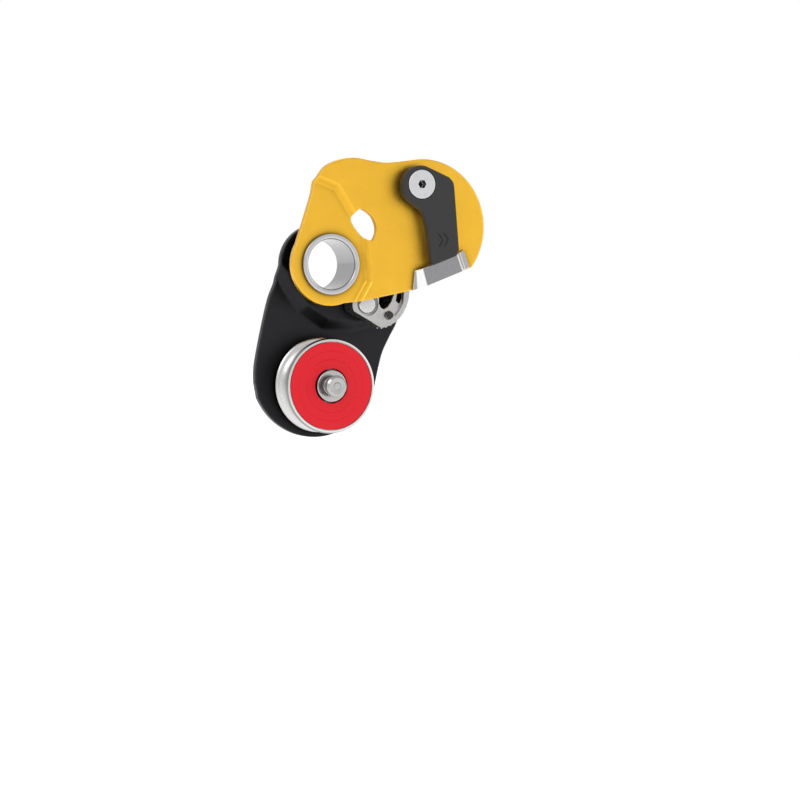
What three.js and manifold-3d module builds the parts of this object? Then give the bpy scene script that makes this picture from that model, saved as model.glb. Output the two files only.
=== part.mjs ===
// Rope pulley with a toothed catch cam: a grooved ball-bearing sheave between two side plates.
// The front plate swings about the connector eye, so that a rope can be laid over the sheave.
// It hangs from the eye, and it is built open, with the front plate swung up to the right.
//
// Millimetres. X is to the right, Y runs from front to back, Z is up.
// The origin is the centre of the connector eye, and Y = 0 is the sheave's middle plane.
import * as THREE from 'three';
import { mergeVertices } from 'three/addons/utils/BufferGeometryUtils.js';
import Module from 'manifold-3d';

const wasm = await Module();
wasm.setup();

// ---------------------------------------------------------------- driving dimensions
const GAP = 0.3;                      // running clearance between neighbouring pieces
const OPEN_ANGLE = 110.6;             // degrees that the front plate is swung open

const EYE_BORE_R = 8.85;              // connector hole
const SLEEVE_R = 9.85;                // outside of the sleeve's tube
const SLEEVE_FLANGE_R = 10.8;
const PLATE_BORE_R = SLEEVE_R + GAP;

const AXLE = { x: 0.9, z: -43 };       // sheave axle, below the eye
const SLOT_HALF_WIDTH = 3.5;          // slot of the front plate, round the axle's neck
const NECK_R = 3.0;
const HEAD_R = 3.87;

const SHEAVE_R = 16.9;                // flanges
const TREAD_R = 12.5;                 // bottom of the rope groove
const SHEAVE_HALF = 6;                // half of the sheave's width
const GROOVE_R = 4.6;                 // the groove's own radius

const BEARING = { bore: 5, innerLand: 6.4, pitch: 7.25, outerLand: 8.1, outside: 9.5, half: 3 };
const BALL_R = 1.35;
const BALL_COUNT = 8;

const FRONT_PLATE = { front: -9.5, back: -7.0, drop: 2.0, ringR: 14.7, arcFrom: 212 };
const REAR_PLATE = { front: 7.2, back: 10.2, drop: -3.2, ringR: 14.3, arcFrom: 204 };
const BOTTOM = { x: 0.3, z: -37.8, r: 24 };   // round lower end that both plates share

const CAM_PIVOT = { x: 15.7, z: -14.2 };
const CAM = { front: -4.4, back: 3.4, rimR: 15.7, growth: 0.1, hubR: 5.9 };   // growth per degree
const CAM_STEP = { depth: 0.7, width: 2 };    // the rim stands back from the cam's front face
const CAM_AXLE_R = 1.9;
const CAM_BUSH_R = 2.9;
const TOOTH = { height: 0.5, count: 8, from: -55, to: 14, halfBase: 1.6 };   // angles in degrees
const LOCK_BUTTON = { x: 8.1, z: -3.9, r: 0.7, headR: 1.25 };

const LEVER_PIVOT = { x: 15.3, z: -40 };
const LEVER = { front: -15.0, coverBack: -13.2, skirtBack: -11.9, plateFront: -12.9, back: -11.8 };
const LEVER_HEAD = { x: 14.7, z: -39.6, r: 7.3 };     // a little off the pivot
const LEVER_TIP = { roof: -13.2, skirt: -12.1, plate: -12.3 };
const SKIRT = 0.9;                    // wall of the lever's cover
const POST_R = 2.7;
const SCREW_SHANK_R = 1.5;

const BRIDGE = { left: -19.6, right: -13.1, front: -12.9, back: -11.8 };
const RIVET = { shankR: 0.6, headR: 1.0 };
const RIVET_PLACES = [[-17.5, -27.7], [-16.6, -48]];

// ---------------------------------------------------------------- materials
const finish = (color, roughness, metalness) =>
  new THREE.MeshStandardMaterial({ color, roughness, metalness });
const gold = finish(0xecb83e, 0.38, 0.75);
const black = finish(0x232324, 0.45, 0.6);
const steel = finish(0xc9cacb, 0.28, 1);
const darkSteel = finish(0x8d8f92, 0.35, 1);
const aluminium = finish(0xd6d6d4, 0.33, 1);
const red = finish(0xe4242c, 0.5, 0.1);
const blackPlastic = finish(0x393939, 0.6, 0);
const paleNylon = finish(0xd9d4c6, 0.6, 0);

// ---------------------------------------------------------------- outlines and solids
const rad = THREE.MathUtils.degToRad;
const v2 = ([x, z]) => new THREE.Vector2(x, z);

// A prism: an outline in X and Z, run from the front (low Y) to the back (high Y).
function prism(shape, front, back, curveSegments = 8) {
  const g = new THREE.ExtrudeGeometry(shape, { depth: back - front, bevelEnabled: false, curveSegments });
  return g.translate(0, 0, -back).rotateX(Math.PI / 2);
}

// A prism whose two ends are the outline, and which widens by `flare` just inside them.
function flaredPrism(shape, front, back, flare) {
  const depth = back - front - 2 * flare;
  const bevel = { bevelThickness: flare, bevelSize: flare, bevelSegments: 1, curveSegments: 4 };
  const g = new THREE.ExtrudeGeometry(shape, { depth, ...bevel });
  return g.translate(0, 0, flare - back).rotateX(Math.PI / 2);
}

// A body turned about the Y axis from [radius, y] corners that close on themselves or the axis.
function turned(profile, segments = 40) {
  const points = profile.map(v2);
  const onAxis = profile[0][0] === 0;
  if (THREE.ShapeUtils.area(points) < 0) points.reverse();
  if (!onAxis) points.push(points[0].clone());
  return new THREE.LatheGeometry(points, segments);
}

const ring = (inner, outer, front, back, segments) =>
  turned([[inner, front], [outer, front], [outer, back], [inner, back]], segments);

const rod = (r, front, back, segments) =>
  turned([[0, front], [r, front], [r, back], [0, back]], segments);

const circle = (r, x = 0, z = 0) => new THREE.Shape().absarc(x, z, r, 0, 2 * Math.PI);

// Points of a circular arc as [a, b] pairs, for profiles; the angles are in degrees.
function arc(a, b, r, from, to, steps) {
  const angles = Array.from({ length: steps + 1 }, (_, i) => rad(from + ((to - from) * i) / steps));
  return angles.map((t) => [a + r * Math.cos(t), b + r * Math.sin(t)]);
}

// Round wire along a curve, closed at both ends.
function wire(curve, r, steps) {
  const options = { steps, extrudePath: curve, curveSegments: 3 };
  return new THREE.ExtrudeGeometry(circle(r), options);
}

class Coil extends THREE.Curve {
  constructor(r, front, back, turns) {
    super();
    Object.assign(this, { r, front, back, turns });
  }

  getPoint(t) {
    const a = 2 * Math.PI * this.turns * t;
    const y = THREE.MathUtils.lerp(this.front, this.back, t);
    return new THREE.Vector3(this.r * Math.cos(a), y, this.r * Math.sin(a));
  }
}

// ---------------------------------------------------------------- cutting and joining
function solid(geometry) {
  const plain = geometry.clone();
  plain.deleteAttribute('normal');
  plain.deleteAttribute('uv');
  const merged = mergeVertices(plain, 1e-4);
  const index = Array.from(merged.index.array);
  const faces = [];
  for (let i = 0; i < index.length; i += 3) {
    const [a, b, c] = index.slice(i, i + 3);
    if (a !== b && b !== c && c !== a) faces.push(a, b, c);
  }
  return new wasm.Manifold(new wasm.Mesh({
    numProp: 3,
    vertProperties: merged.attributes.position.array,
    triVerts: Uint32Array.from(faces),
  }));
}

function toGeometry(body) {
  const made = body.getMesh();
  const g = new THREE.BufferGeometry();
  g.setAttribute('position', new THREE.BufferAttribute(made.vertProperties, 3));
  g.setIndex(new THREE.BufferAttribute(made.triVerts, 1));
  g.computeVertexNormals();
  return g;
}

const cut = (body, ...tools) => tools.reduce((rest, tool) => rest.subtract(solid(tool)), body);
const join = (body, ...more) => more.reduce((sum, extra) => sum.add(solid(extra)), body);

const atLeverPivot = (geometry) => geometry.translate(LEVER_PIVOT.x, 0, LEVER_PIVOT.z);

function piece(name, shape, material) {
  const geometry = shape.isBufferGeometry ? shape : toGeometry(shape);
  const mesh = new THREE.Mesh(geometry, material);
  mesh.name = name;
  return mesh;
}

// ---------------------------------------------------------------- side plates
// Both plates have one outline: a ring round the eye, a left edge, a round lower end, and a bulge
// on the right that covers the cam.
function plateOutline({ ringR, arcFrom }, leftEdge) {
  const shape = new THREE.Shape();
  shape.absarc(0, 0, ringR, rad(40), rad(180));
  shape.splineThru(leftEdge.map(v2));
  shape.absarc(BOTTOM.x, BOTTOM.z, BOTTOM.r, rad(arcFrom), rad(350));
  shape.splineThru([[26.3, -32.5], [29.2, -26.5], [32.4, -20.5], [33.5, -14], [32.8, -9], [29.6, -4.6],
    [25.4, -1.9], [18.2, 3.8]].map(v2));
  return shape;
}

// The raised or sunk zone round the eye: below it the crease, above it far past the plate.
const ringZone = (crease) => new THREE.Shape([...crease, [44, 30], [-40, 30]].map(v2));

// A pressed plate. The zone round the eye stands `drop` further back than the rest.
function pressedPlate({ front, back, drop }, outline, zone) {
  const far = 20;
  const flare = Math.abs(drop);
  const press = (face) => (drop > 0
    ? flaredPrism(zone, -far, face + drop, flare)
    : flaredPrism(zone, face + drop, far, flare));
  const [inner, outer] = drop > 0 ? [back, front] : [front, back];
  const reach = drop > 0 ? prism(outline, front, back + drop) : prism(outline, front + drop, back);
  const bulge = solid(reach).intersect(solid(press(inner)));
  return solid(prism(outline, front, back)).add(bulge).subtract(solid(press(outer)));
}

// The slot is an arc about the eye, from its mouth in the left edge to its round end at the axle.
function axleSlot() {
  const reach = Math.hypot(AXLE.x, AXLE.z);
  const [mouth, end] = [rad(236), Math.atan2(AXLE.z, AXLE.x)];
  const shape = new THREE.Shape();
  shape.absarc(0, 0, reach + SLOT_HALF_WIDTH, mouth, end, false);
  shape.absarc(AXLE.x, AXLE.z, SLOT_HALF_WIDTH, end, end + Math.PI, false);
  shape.absarc(0, 0, reach - SLOT_HALF_WIDTH, end, mouth, true);
  return shape;
}

function windowHole() {
  const points = [[14.5, -16.1], [13.5, -18.1], [9.8, -20.3], [5.4, -20], [2.6, -17.2], [5.9, -14.3],
    [12, -12.9]].map(([x, z]) => new THREE.Vector3(x, z, 0));
  const curve = new THREE.CatmullRomCurve3(points, true);
  return new THREE.Shape(curve.getPoints(24).map(({ x, y }) => new THREE.Vector2(x, y)));
}

function movingSidePlate() {
  const leftEdge = [[-16.2, -6], [-17.4, -13.2], [-19.2, -24.5], [-19.7, -32], [-20.1, -44]];
  const crease = [[-22, 5.2], [-15.9, -3.3], [-10.2, -10.55], [4.45, -14.8], [24.1, -10.6], [40, 7.5]];
  const plate = pressedPlate(FRONT_PLATE, plateOutline(FRONT_PLATE, leftEdge), ringZone(crease));
  const { front, back } = FRONT_PLATE;
  const countersink = turned([[0, back + 1], [4.5, back + 1], [3, back - 1], [0, back - 1]], 32);
  return cut(plate,
    rod(PLATE_BORE_R, -20, 20, 36),
    prism(axleSlot(), -20, 20),
    prism(windowHole(), -20, 20),
    atLeverPivot(rod(POST_R + GAP, -20, 20, 32)),
    atLeverPivot(countersink),
    ...RIVET_PLACES.map(([x, z]) => rod(RIVET.shankR + GAP, front - 1, back + 1, 20).translate(x, 0, z)),
    ...RIVET_PLACES.map(([x, z]) => rod(RIVET.headR + GAP, back - 1, back + 1, 20).translate(x, 0, z)));
}

function fixedSidePlate() {
  const leftEdge = [[-14.9, -6], [-17.4, -12.5], [-20.2, -24], [-22.5, -35.7], [-22.7, -42]];
  const crease = [[-22, 5.5], [-17, 1.8], [-11.4, -2.8], [-9.5, -7], [-4, -14.5], [4, -19.6],
    [14, -20.6], [24, -18.5], [33, -14.5], [44, -12]];
  const plate = pressedPlate(REAR_PLATE, plateOutline(REAR_PLATE, leftEdge), ringZone(crease));
  return cut(plate,
    rod(PLATE_BORE_R, -20, 20, 36),
    rod(BEARING.bore, -20, 20, 32).translate(AXLE.x, 0, AXLE.z),
    rod(CAM_AXLE_R + GAP, -20, 20, 24).translate(CAM_PIVOT.x, 0, CAM_PIVOT.z));
}

// ---------------------------------------------------------------- connector eye
// The sleeve is a hollow rivet: a front flange, a tube through both plates, a flange behind.
function eyeSleeve() {
  const ringFront = FRONT_PLATE.front + FRONT_PLATE.drop;
  const ringBack = REAR_PLATE.back + REAR_PLATE.drop;
  const [frontIn, frontOut] = [ringFront - GAP, ringFront - 1.2];
  const [backIn, backOut] = [ringBack + GAP, ringBack + 1.2];
  return turned([
    [EYE_BORE_R, frontOut + 0.5], [EYE_BORE_R + 0.5, frontOut], [SLEEVE_FLANGE_R - 0.3, frontOut],
    [SLEEVE_FLANGE_R, frontOut + 0.3], [SLEEVE_FLANGE_R, frontIn], [SLEEVE_R, frontIn],
    [SLEEVE_R, backIn], [SLEEVE_FLANGE_R, backIn], [SLEEVE_FLANGE_R, backOut - 0.3],
    [SLEEVE_FLANGE_R - 0.3, backOut], [EYE_BORE_R + 0.5, backOut], [EYE_BORE_R, backOut - 0.5],
  ], 36);
}

function eyePieces() {
  const washerFront = FRONT_PLATE.back + FRONT_PLATE.drop + GAP;
  const washerBack = washerFront + 0.7;
  const spacerBack = REAR_PLATE.front + REAR_PLATE.drop - GAP;
  return [
    piece('eye_sleeve', eyeSleeve(), steel),
    piece('swing_washer', ring(PLATE_BORE_R, 12.2, washerFront, washerBack, 32), blackPlastic),
    piece('plate_spacer', ring(PLATE_BORE_R, 11.8, washerBack + GAP, spacerBack, 32), black),
  ];
}

// ---------------------------------------------------------------- sheave axle
const AXLE_SHAFT_R = BEARING.bore - GAP;
const REAR_WASHER = { r: 7.5, back: REAR_PLATE.back + GAP + 0.8 };

// From the front: chamfered head, neck for the slot, collar, shaft, and the head formed behind.
function sheaveAxle() {
  const headFront = -11.5;
  const headBack = FRONT_PLATE.front - GAP;
  const collarFront = FRONT_PLATE.back + 0.4;
  const rearHead = REAR_WASHER.back + GAP;
  return turned([
    [0, headFront], [HEAD_R - 0.9, headFront], [HEAD_R, headFront + 0.7], [HEAD_R, headBack],
    [NECK_R, headBack], [NECK_R, collarFront], [5.25, collarFront], [5.65, collarFront + 0.4],
    [5.65, -BEARING.half - GAP], [AXLE_SHAFT_R, -BEARING.half - GAP], [AXLE_SHAFT_R, rearHead],
    [6.2, rearHead], [6.2, rearHead + 0.7], [5.2, rearHead + 1.3], [0, rearHead + 1.3],
  ], 28);
}

function axlePieces() {
  const washer = ring(BEARING.bore, REAR_WASHER.r, REAR_PLATE.back + GAP, REAR_WASHER.back, 36);
  const spacer = ring(BEARING.bore, 6.4, BEARING.half + GAP, REAR_PLATE.front - GAP, 32);
  return [
    piece('sheave_axle', sheaveAxle(), steel),
    piece('axle_rear_washer', washer, steel),
    piece('sheave_rear_spacer', spacer, aluminium),
    piece('bearing_inner_ring', bearingRing(BEARING.bore, BEARING.innerLand, 1), darkSteel),
  ];
}

// ---------------------------------------------------------------- ball bearing
// A ring with its round ball track. side = 1 for the inner ring, -1 for the outer one.
function bearingRing(wallR, landR, side) {
  const trackR = BALL_R + GAP;
  const half = Math.sqrt(trackR ** 2 - (BEARING.pitch - landR) ** 2);
  const sweep = THREE.MathUtils.radToDeg(Math.asin(half / trackR));
  const track = side > 0
    ? arc(BEARING.pitch, 0, trackR, 180 - sweep, 180 + sweep, 4)
    : arc(BEARING.pitch, 0, trackR, sweep, -sweep, 4);
  return turned([[landR, BEARING.half], ...track, [landR, -BEARING.half],
    [wallR, -BEARING.half], [wallR, BEARING.half]], 28);
}

const ballAngles = Array.from({ length: BALL_COUNT }, (_, i) => (2 * Math.PI * i) / BALL_COUNT);
const ballPlace = (angle) => [BEARING.pitch * Math.cos(angle), 0, BEARING.pitch * Math.sin(angle)];

function bearingCage() {
  const blank = ring(BEARING.innerLand + GAP, BEARING.outerLand - GAP, -2.1, 2.1, 32);
  const pockets = ballAngles.map((a) =>
    new THREE.SphereGeometry(BALL_R + GAP, 10, 6).translate(...ballPlace(a)));
  return cut(solid(blank), ...pockets);
}

function bearingBalls() {
  return ballAngles.map((a, i) => {
    const ball = new THREE.SphereGeometry(BALL_R, 10, 6).translate(...ballPlace(a));
    return piece(`bearing_ball_${i + 1}`, ball, steel);
  });
}

// ---------------------------------------------------------------- sheave
const DISC = { r: 15.55, thick: 0.6, bore: 6.1 };
const CIRCLIP = { front: BEARING.half + GAP, back: BEARING.half + 1.7, grooveR: 10.8 };

// A rope groove outside, a shallow recess for the disc in front, and a bore for the bearing.
function sheaveProfile() {
  const grooveR = TREAD_R + GROOVE_R;
  const edge = THREE.MathUtils.radToDeg(Math.acos((SHEAVE_R - grooveR) / GROOVE_R));
  const bore = BEARING.outside + GAP;
  const recess = -SHEAVE_HALF + DISC.thick + GAP;
  const seat = -BEARING.half - GAP;
  return [
    [6.9, recess], [DISC.r + GAP, recess], [DISC.r + GAP, -SHEAVE_HALF], [SHEAVE_R - 0.4, -SHEAVE_HALF],
    [SHEAVE_R, -SHEAVE_HALF + 0.4],
    ...arc(grooveR, 0, GROOVE_R, 360 - edge, edge, 8),
    [SHEAVE_R, SHEAVE_HALF - 0.4], [SHEAVE_R - 0.4, SHEAVE_HALF], [bore, SHEAVE_HALF],
    [bore, CIRCLIP.back], [CIRCLIP.grooveR, CIRCLIP.back], [CIRCLIP.grooveR, CIRCLIP.front],
    [bore, CIRCLIP.front], [bore, seat], [6.9, seat],
  ];
}

function circlip() {
  const shape = new THREE.Shape();
  shape.absarc(0, 0, CIRCLIP.grooveR - GAP, rad(290), rad(250 + 360), false);
  shape.absarc(0, 0, BEARING.outside - 0.9, rad(250), rad(290 - 360), true);
  return prism(shape, CIRCLIP.front + GAP, CIRCLIP.back - GAP, 20);
}

// A thin coloured disc let into the sheave's front, seen only while the plate is open.
function indicatorDisc() {
  const front = -SHEAVE_HALF;
  const back = front + DISC.thick;
  return turned([[DISC.bore, front], [DISC.r - 0.15, front], [DISC.r, front + 0.15], [DISC.r, back],
    [DISC.bore, back]], 44);
}

function sheavePieces() {
  const shield = (front) => ring(BEARING.innerLand + GAP, BEARING.outerLand - GAP, front, front + 0.4, 32);
  return [
    piece('sheave', turned(sheaveProfile(), 44), aluminium),
    piece('indicator_disc', indicatorDisc(), red),
    piece('bearing_outer_ring', bearingRing(BEARING.outside, BEARING.outerLand, -1), darkSteel),
    piece('bearing_front_shield', shield(-BEARING.half + 0.1), darkSteel),
    piece('bearing_rear_shield', shield(BEARING.half - 0.5), darkSteel),
    piece('bearing_circlip', circlip(), darkSteel),
  ];
}

// ---------------------------------------------------------------- catch cam
// The rim is a spiral: its distance from the pivot grows steadily, so that it wedges the rope.
const rimRadius = (deg) => CAM.rimR + CAM.growth * deg;
const polar = (r, deg) => [r * Math.cos(rad(deg)), r * Math.sin(rad(deg))];

function rimWithTeeth(shape) {
  const { from, to, count, height, halfBase } = TOOTH;
  for (let i = 0; i <= count; i += 1) {
    const middle = from + ((to - from) * i) / count;
    shape.lineTo(...polar(rimRadius(middle - halfBase), middle - halfBase));
    shape.lineTo(...polar(rimRadius(middle) + height, middle));
    shape.lineTo(...polar(rimRadius(middle + halfBase), middle + halfBase));
    shape.lineTo(...polar(rimRadius(middle + 4.3), middle + 4.3));
  }
}

function smoothRim(shape, inset) {
  for (let deg = TOOTH.from - 2; deg <= TOOTH.to; deg += 5) {
    shape.lineTo(...polar(rimRadius(deg) - inset, deg));
  }
}

// Spiral rim, rounded nose, round hub, and one straight flank from the hub to the rim.
function camOutline(inset) {
  const shape = new THREE.Shape();
  shape.absarc(0, 0, CAM.hubR, rad(100), rad(205), false);
  if (inset > 0) smoothRim(shape, inset);
  else rimWithTeeth(shape);
  shape.splineThru([[16.3 - inset, 7], [13.1 - inset / 2, 8.7 - inset], [3.5, 7.4]].map(v2));
  return shape;
}

const camOpeningLeft = () => new THREE.Shape([[4.5, 4.8], [4.4, 0.3], [5, -1], [6.1, -1.6], [7.6, -1],
  [9.1, 1], [10.6, 4.9]].map(v2));
const camOpeningRight = () => new THREE.Shape([[11.6, 1.2], [12.9, 0], [13.9, 2], [14.1, 5], [12.4, 5.6]]
  .map(v2));
const camFaceRecess = () => new THREE.Shape([[11.6, 5.4], [10.4, 0.6], [9.5, -1.4], [10.6, -4.6],
  [12.6, -2.4], [13.9, 1], [14.2, 5.2]].map(v2));

function camBody() {
  const { front, back } = CAM;
  const { r, headR, x, z } = LOCK_BUTTON;
  const step = front + CAM_STEP.depth;
  const through = (shape) => prism(shape, -20, 20);
  const rim = solid(prism(camOutline(0), step, back, 12));
  return cut(join(rim, prism(camOutline(CAM_STEP.width), front, step + 1, 12)),
    prism(camFaceRecess(), front - 1, front + 1.6),
    through(camOpeningLeft()),
    through(camOpeningRight()),
    rod(r + GAP, -20, 20, 20).translate(x, 0, z),
    rod(headR + GAP, front - 1, front + 2.4, 24).translate(x, 0, z),
    rod(CAM_BUSH_R + GAP, -20, 20, 28),
    rod(4.1, front - 1, front + 1.3, 32),
    rod(4.4, back - 2.6, back + 1, 32));
}

function camAxle() {
  const { front } = CAM;
  const rear = REAR_PLATE.back + REAR_PLATE.drop + GAP;
  return turned([[0, front], [2.7, front], [3.2, front + 0.4], [3.2, front + 1], [CAM_AXLE_R, front + 1],
    [CAM_AXLE_R, rear], [3.4, rear], [3.4, rear + 0.5], [2.7, rear + 1], [0, rear + 1]], 28);
}

function camPieces() {
  return [
    piece('cam', camBody(), steel),
    piece('cam_bush', ring(CAM_AXLE_R + GAP, CAM_BUSH_R, CAM.front + 1.3, CAM.back, 28), paleNylon),
  ];
}

function camFramePieces() {
  const spring = new Coil(3.75, CAM.back - 2.1, CAM.back - 0.1, 2.6);
  return [
    piece('cam_axle', camAxle(), steel),
    piece('cam_spring', wire(spring, 0.28, 32), darkSteel),
  ];
}

// The lock button: a headed pin across the cam, with its own small spring under the head.
function lockButton() {
  const { r, headR } = LOCK_BUTTON;
  return turned([[0, -6.2], [headR - 0.3, -6.2], [headR, -5.9], [headR, -5.1], [r, -5.1], [r, 2],
    [r - 0.3, 2.3], [0, 2.3]], 20);
}

const buttonSpring = () => wire(new Coil(LOCK_BUTTON.r + 0.4, -4.7, -2.3, 3), 0.15, 30);

// ---------------------------------------------------------------- slot bridge
// A steel strip that steps up and over the slot's mouth, so that the axle's head passes under it.
function slotBridge() {
  const seat = FRONT_PLATE.front - GAP;
  const thick = BRIDGE.back - BRIDGE.front;
  const side = new THREE.Shape([[-25.4, seat], [-28.4, seat], [-30.6, BRIDGE.back], [-44.8, BRIDGE.back],
    [-46.6, seat], [-49.4, seat], [-49.4, seat - 0.8], [-47.2, seat - thick], [-45.4, BRIDGE.front],
    [-30, BRIDGE.front], [-27.8, seat - thick], [-25.4, seat - 0.8]].map(v2));
  const width = BRIDGE.right - BRIDGE.left;
  const strip = new THREE.ExtrudeGeometry(side, { depth: width, bevelEnabled: false });
  // The side view is drawn in (Z, Y); turn it so that the strip's width runs along X.
  const turn = new THREE.Matrix4().makeBasis(
    new THREE.Vector3(0, 0, 1), new THREE.Vector3(0, 1, 0), new THREE.Vector3(-1, 0, 0));
  strip.applyMatrix4(turn).translate(BRIDGE.right, 0, 0);
  const slanted = new THREE.Shape([[-19.2, -25.4], [-12, -29.3], [-12, -49], [-20.5, -49.4]].map(v2));
  return cut(solid(strip).intersect(solid(prism(slanted, -20, 0))),
    ...RIVET_PLACES.map(([x, z]) => rod(RIVET.shankR + GAP, -20, 0, 20).translate(x, 0, z)));
}

// A rivet from the back of the plate, spread in the strip's foot.
function bridgeRivet([x, z]) {
  const { front, back } = FRONT_PLATE;
  const { shankR, headR } = RIVET;
  return turned([[0, front - 0.9], [shankR, front - 0.9], [shankR, back - 1 + GAP],
    [headR, back - 1 + GAP], [headR, back], [0, back]], 20).translate(x, 0, z);
}

// ---------------------------------------------------------------- opening lever
// The lever seen from the front. `inset` is how far it stays inside the cover's own outline.
function leverOutline(inset, tip) {
  const shape = new THREE.Shape();
  shape.absarc(LEVER_HEAD.x, LEVER_HEAD.z, LEVER_HEAD.r - inset, rad(-38), rad(110), false);
  shape.splineThru([[9, -34.9 - inset], [5.6, -36.8 - inset], [0, -36.6 - inset]].map(v2));
  shape.lineTo(tip + 0.7, -33.9 - inset);
  shape.lineTo(tip, -35.2 - inset / 2);
  shape.lineTo(tip, -43.5 + inset / 2);
  shape.lineTo(tip + 1.3, -45.5 + inset);
  shape.lineTo(8.6, -51.3 + inset);
  shape.splineThru([[11.6, -51.9 + inset], [14, -51 + inset]].map(v2));
  return shape;
}

// Two chevrons sunk in the cover's face, pointing the way that the tip is pressed.
function chevron(x, z) {
  const [half, rise, stroke, tilt] = [2.4, 1.5, 0.8, rad(-15)];
  const points = [[-half, rise], [0, 0], [half, rise], [half, rise + stroke], [0, stroke],
    [-half, rise + stroke]];
  const origin = new THREE.Vector2();
  return new THREE.Shape(points.map((p) => v2(p).rotateAround(origin, tilt).add(v2([x, z]))));
}

// The cover is a tray turned upside down over the latch plate. At the tip its roof reaches over the
// bridge's edge, and its skirt is open.
function leverCover() {
  const { front, coverBack, skirtBack } = LEVER;
  const roof = solid(prism(leverOutline(0, LEVER_TIP.roof), front, coverBack));
  return cut(join(roof, prism(leverOutline(0, LEVER_TIP.skirt), coverBack - 1, skirtBack)),
    prism(leverOutline(SKIRT, LEVER_TIP.plate), coverBack, 0),
    atLeverPivot(rod(5.5, front - 1, front + 1.1, 32)),
    atLeverPivot(rod(POST_R + GAP, -20, 0, 28)),
    prism(chevron(-6.5, -43), front - 1, front + 0.4),
    prism(chevron(-6, -40.9), front - 1, front + 0.4));
}

// The steel plate under the cover. Its nib stands beside the axle's head and keeps the slot shut.
function leverLatchPlate() {
  const { plateFront, back } = LEVER;
  const nib = new THREE.Shape([[-5.5, -43.8], [-4, -43.8], [-4, -41.8], [-5.5, -41.8]].map(v2));
  const plate = prism(leverOutline(SKIRT + GAP, LEVER_TIP.plate), plateFront, back);
  return cut(join(solid(plate), prism(nib, back - 0.5, FRONT_PLATE.front - GAP)),
    atLeverPivot(rod(POST_R + GAP, -20, 0, 28)));
}

// A stepped hollow post: riveted in the plate, a shoulder under the lever, a bearing through it.
function leverPost() {
  const { front, back } = FRONT_PLATE;
  const [shoulderFront, shoulderBack] = [LEVER.back + GAP, front - GAP];
  const bore = SCREW_SHANK_R + GAP;
  return atLeverPivot(turned([
    [bore, LEVER.front + 1.4], [POST_R, LEVER.front + 1.4], [POST_R, shoulderFront],
    [4.2, shoulderFront], [4.2, shoulderBack], [POST_R, shoulderBack], [POST_R, back - 0.9],
    [3.3, back], [bore, back],
  ], 24));
}

// The disc-headed screw, with its hexagon socket.
function leverScrew() {
  const { front } = LEVER;
  const socket = new THREE.Shape(arc(0, 0, 1.55, 0, 300, 5).map(v2));
  const body = turned([[0, front - 0.1], [4.9, front - 0.1], [5.2, front + 0.2], [5.2, front + 0.8],
    [SCREW_SHANK_R, front + 0.8], [SCREW_SHANK_R, -8.6], [0, -8.6]], 32);
  const screw = cut(solid(body), prism(socket, front - 1, front + 1.6));
  return screw.translate([LEVER_PIVOT.x, 0, LEVER_PIVOT.z]);
}

const leverSpring = () =>
  atLeverPivot(wire(new Coil(4.9, LEVER.back + 0.6, FRONT_PLATE.front - 0.6, 1.8), 0.2, 24));

// ---------------------------------------------------------------- assembly
function group(...children) {
  const g = new THREE.Group();
  g.add(...children);
  return g;
}

function placed(g, { x, z }) {
  g.position.set(x, 0, z);
  return g;
}

const frame = group(
  piece('fixed_side_plate', fixedSidePlate(), black),
  ...eyePieces(),
  placed(group(...camFramePieces()), CAM_PIVOT),
);
const sheaveGroup = placed(group(
  ...axlePieces(),
  ...sheavePieces(),
  piece('bearing_cage', bearingCage(), darkSteel),
  ...bearingBalls(),
), AXLE);
const button = placed(group(
  piece('cam_lock_button', lockButton(), black),
  piece('cam_lock_spring', buttonSpring(), darkSteel),
), LOCK_BUTTON);
const cam = placed(group(...camPieces(), button), CAM_PIVOT);

const movingPlate = group(
  piece('moving_side_plate', movingSidePlate(), gold),
  piece('slot_bridge', slotBridge(), steel),
  piece('bridge_rivet_upper', bridgeRivet(RIVET_PLACES[0]), steel),
  piece('bridge_rivet_lower', bridgeRivet(RIVET_PLACES[1]), steel),
  piece('lever_post', leverPost(), steel),
  piece('lever_screw', leverScrew(), aluminium),
  piece('lever_spring', leverSpring(), darkSteel),
  piece('lever_latch_plate', leverLatchPlate(), steel),
  piece('lever_cover', leverCover(), blackPlastic),
);
movingPlate.rotation.y = -rad(OPEN_ANGLE);

const pulley = group(frame, sheaveGroup, cam, movingPlate);
pulley.updateMatrixWorld(true);

export default pulley;
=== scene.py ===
"""Rope pulley, shown open: what every visible surface looks like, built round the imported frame.

The outlines are in millimetres, in the pulley's own frame: X to the right, Y from front to back,
Z up, origin in the connector eye. The front plate and what it carries are drawn closed, hanging
down over the rear plate, and are then turned open about the eye.
"""
import math

import bmesh
import bpy
import numpy as np
from mathutils import Matrix, Vector


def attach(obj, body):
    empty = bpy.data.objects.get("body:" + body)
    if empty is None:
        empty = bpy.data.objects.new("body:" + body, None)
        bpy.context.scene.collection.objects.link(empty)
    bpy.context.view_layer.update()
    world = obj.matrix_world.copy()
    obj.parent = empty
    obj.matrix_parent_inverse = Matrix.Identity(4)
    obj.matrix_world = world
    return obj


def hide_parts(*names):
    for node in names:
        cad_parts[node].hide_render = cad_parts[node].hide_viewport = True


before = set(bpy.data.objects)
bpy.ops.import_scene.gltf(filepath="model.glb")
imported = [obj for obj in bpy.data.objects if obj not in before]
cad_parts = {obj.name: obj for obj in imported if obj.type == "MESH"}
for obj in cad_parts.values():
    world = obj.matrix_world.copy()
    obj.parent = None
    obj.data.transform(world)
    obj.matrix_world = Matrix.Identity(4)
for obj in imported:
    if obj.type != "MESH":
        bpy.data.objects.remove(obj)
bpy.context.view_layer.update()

MM = 0.001

# ------------------------------------------------------------------ driving dimensions (mm)
GAP = 0.3
OPEN_ANGLE = 110.6
OPENED = Matrix.Rotation(-math.radians(OPEN_ANGLE), 4, "Y")

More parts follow.
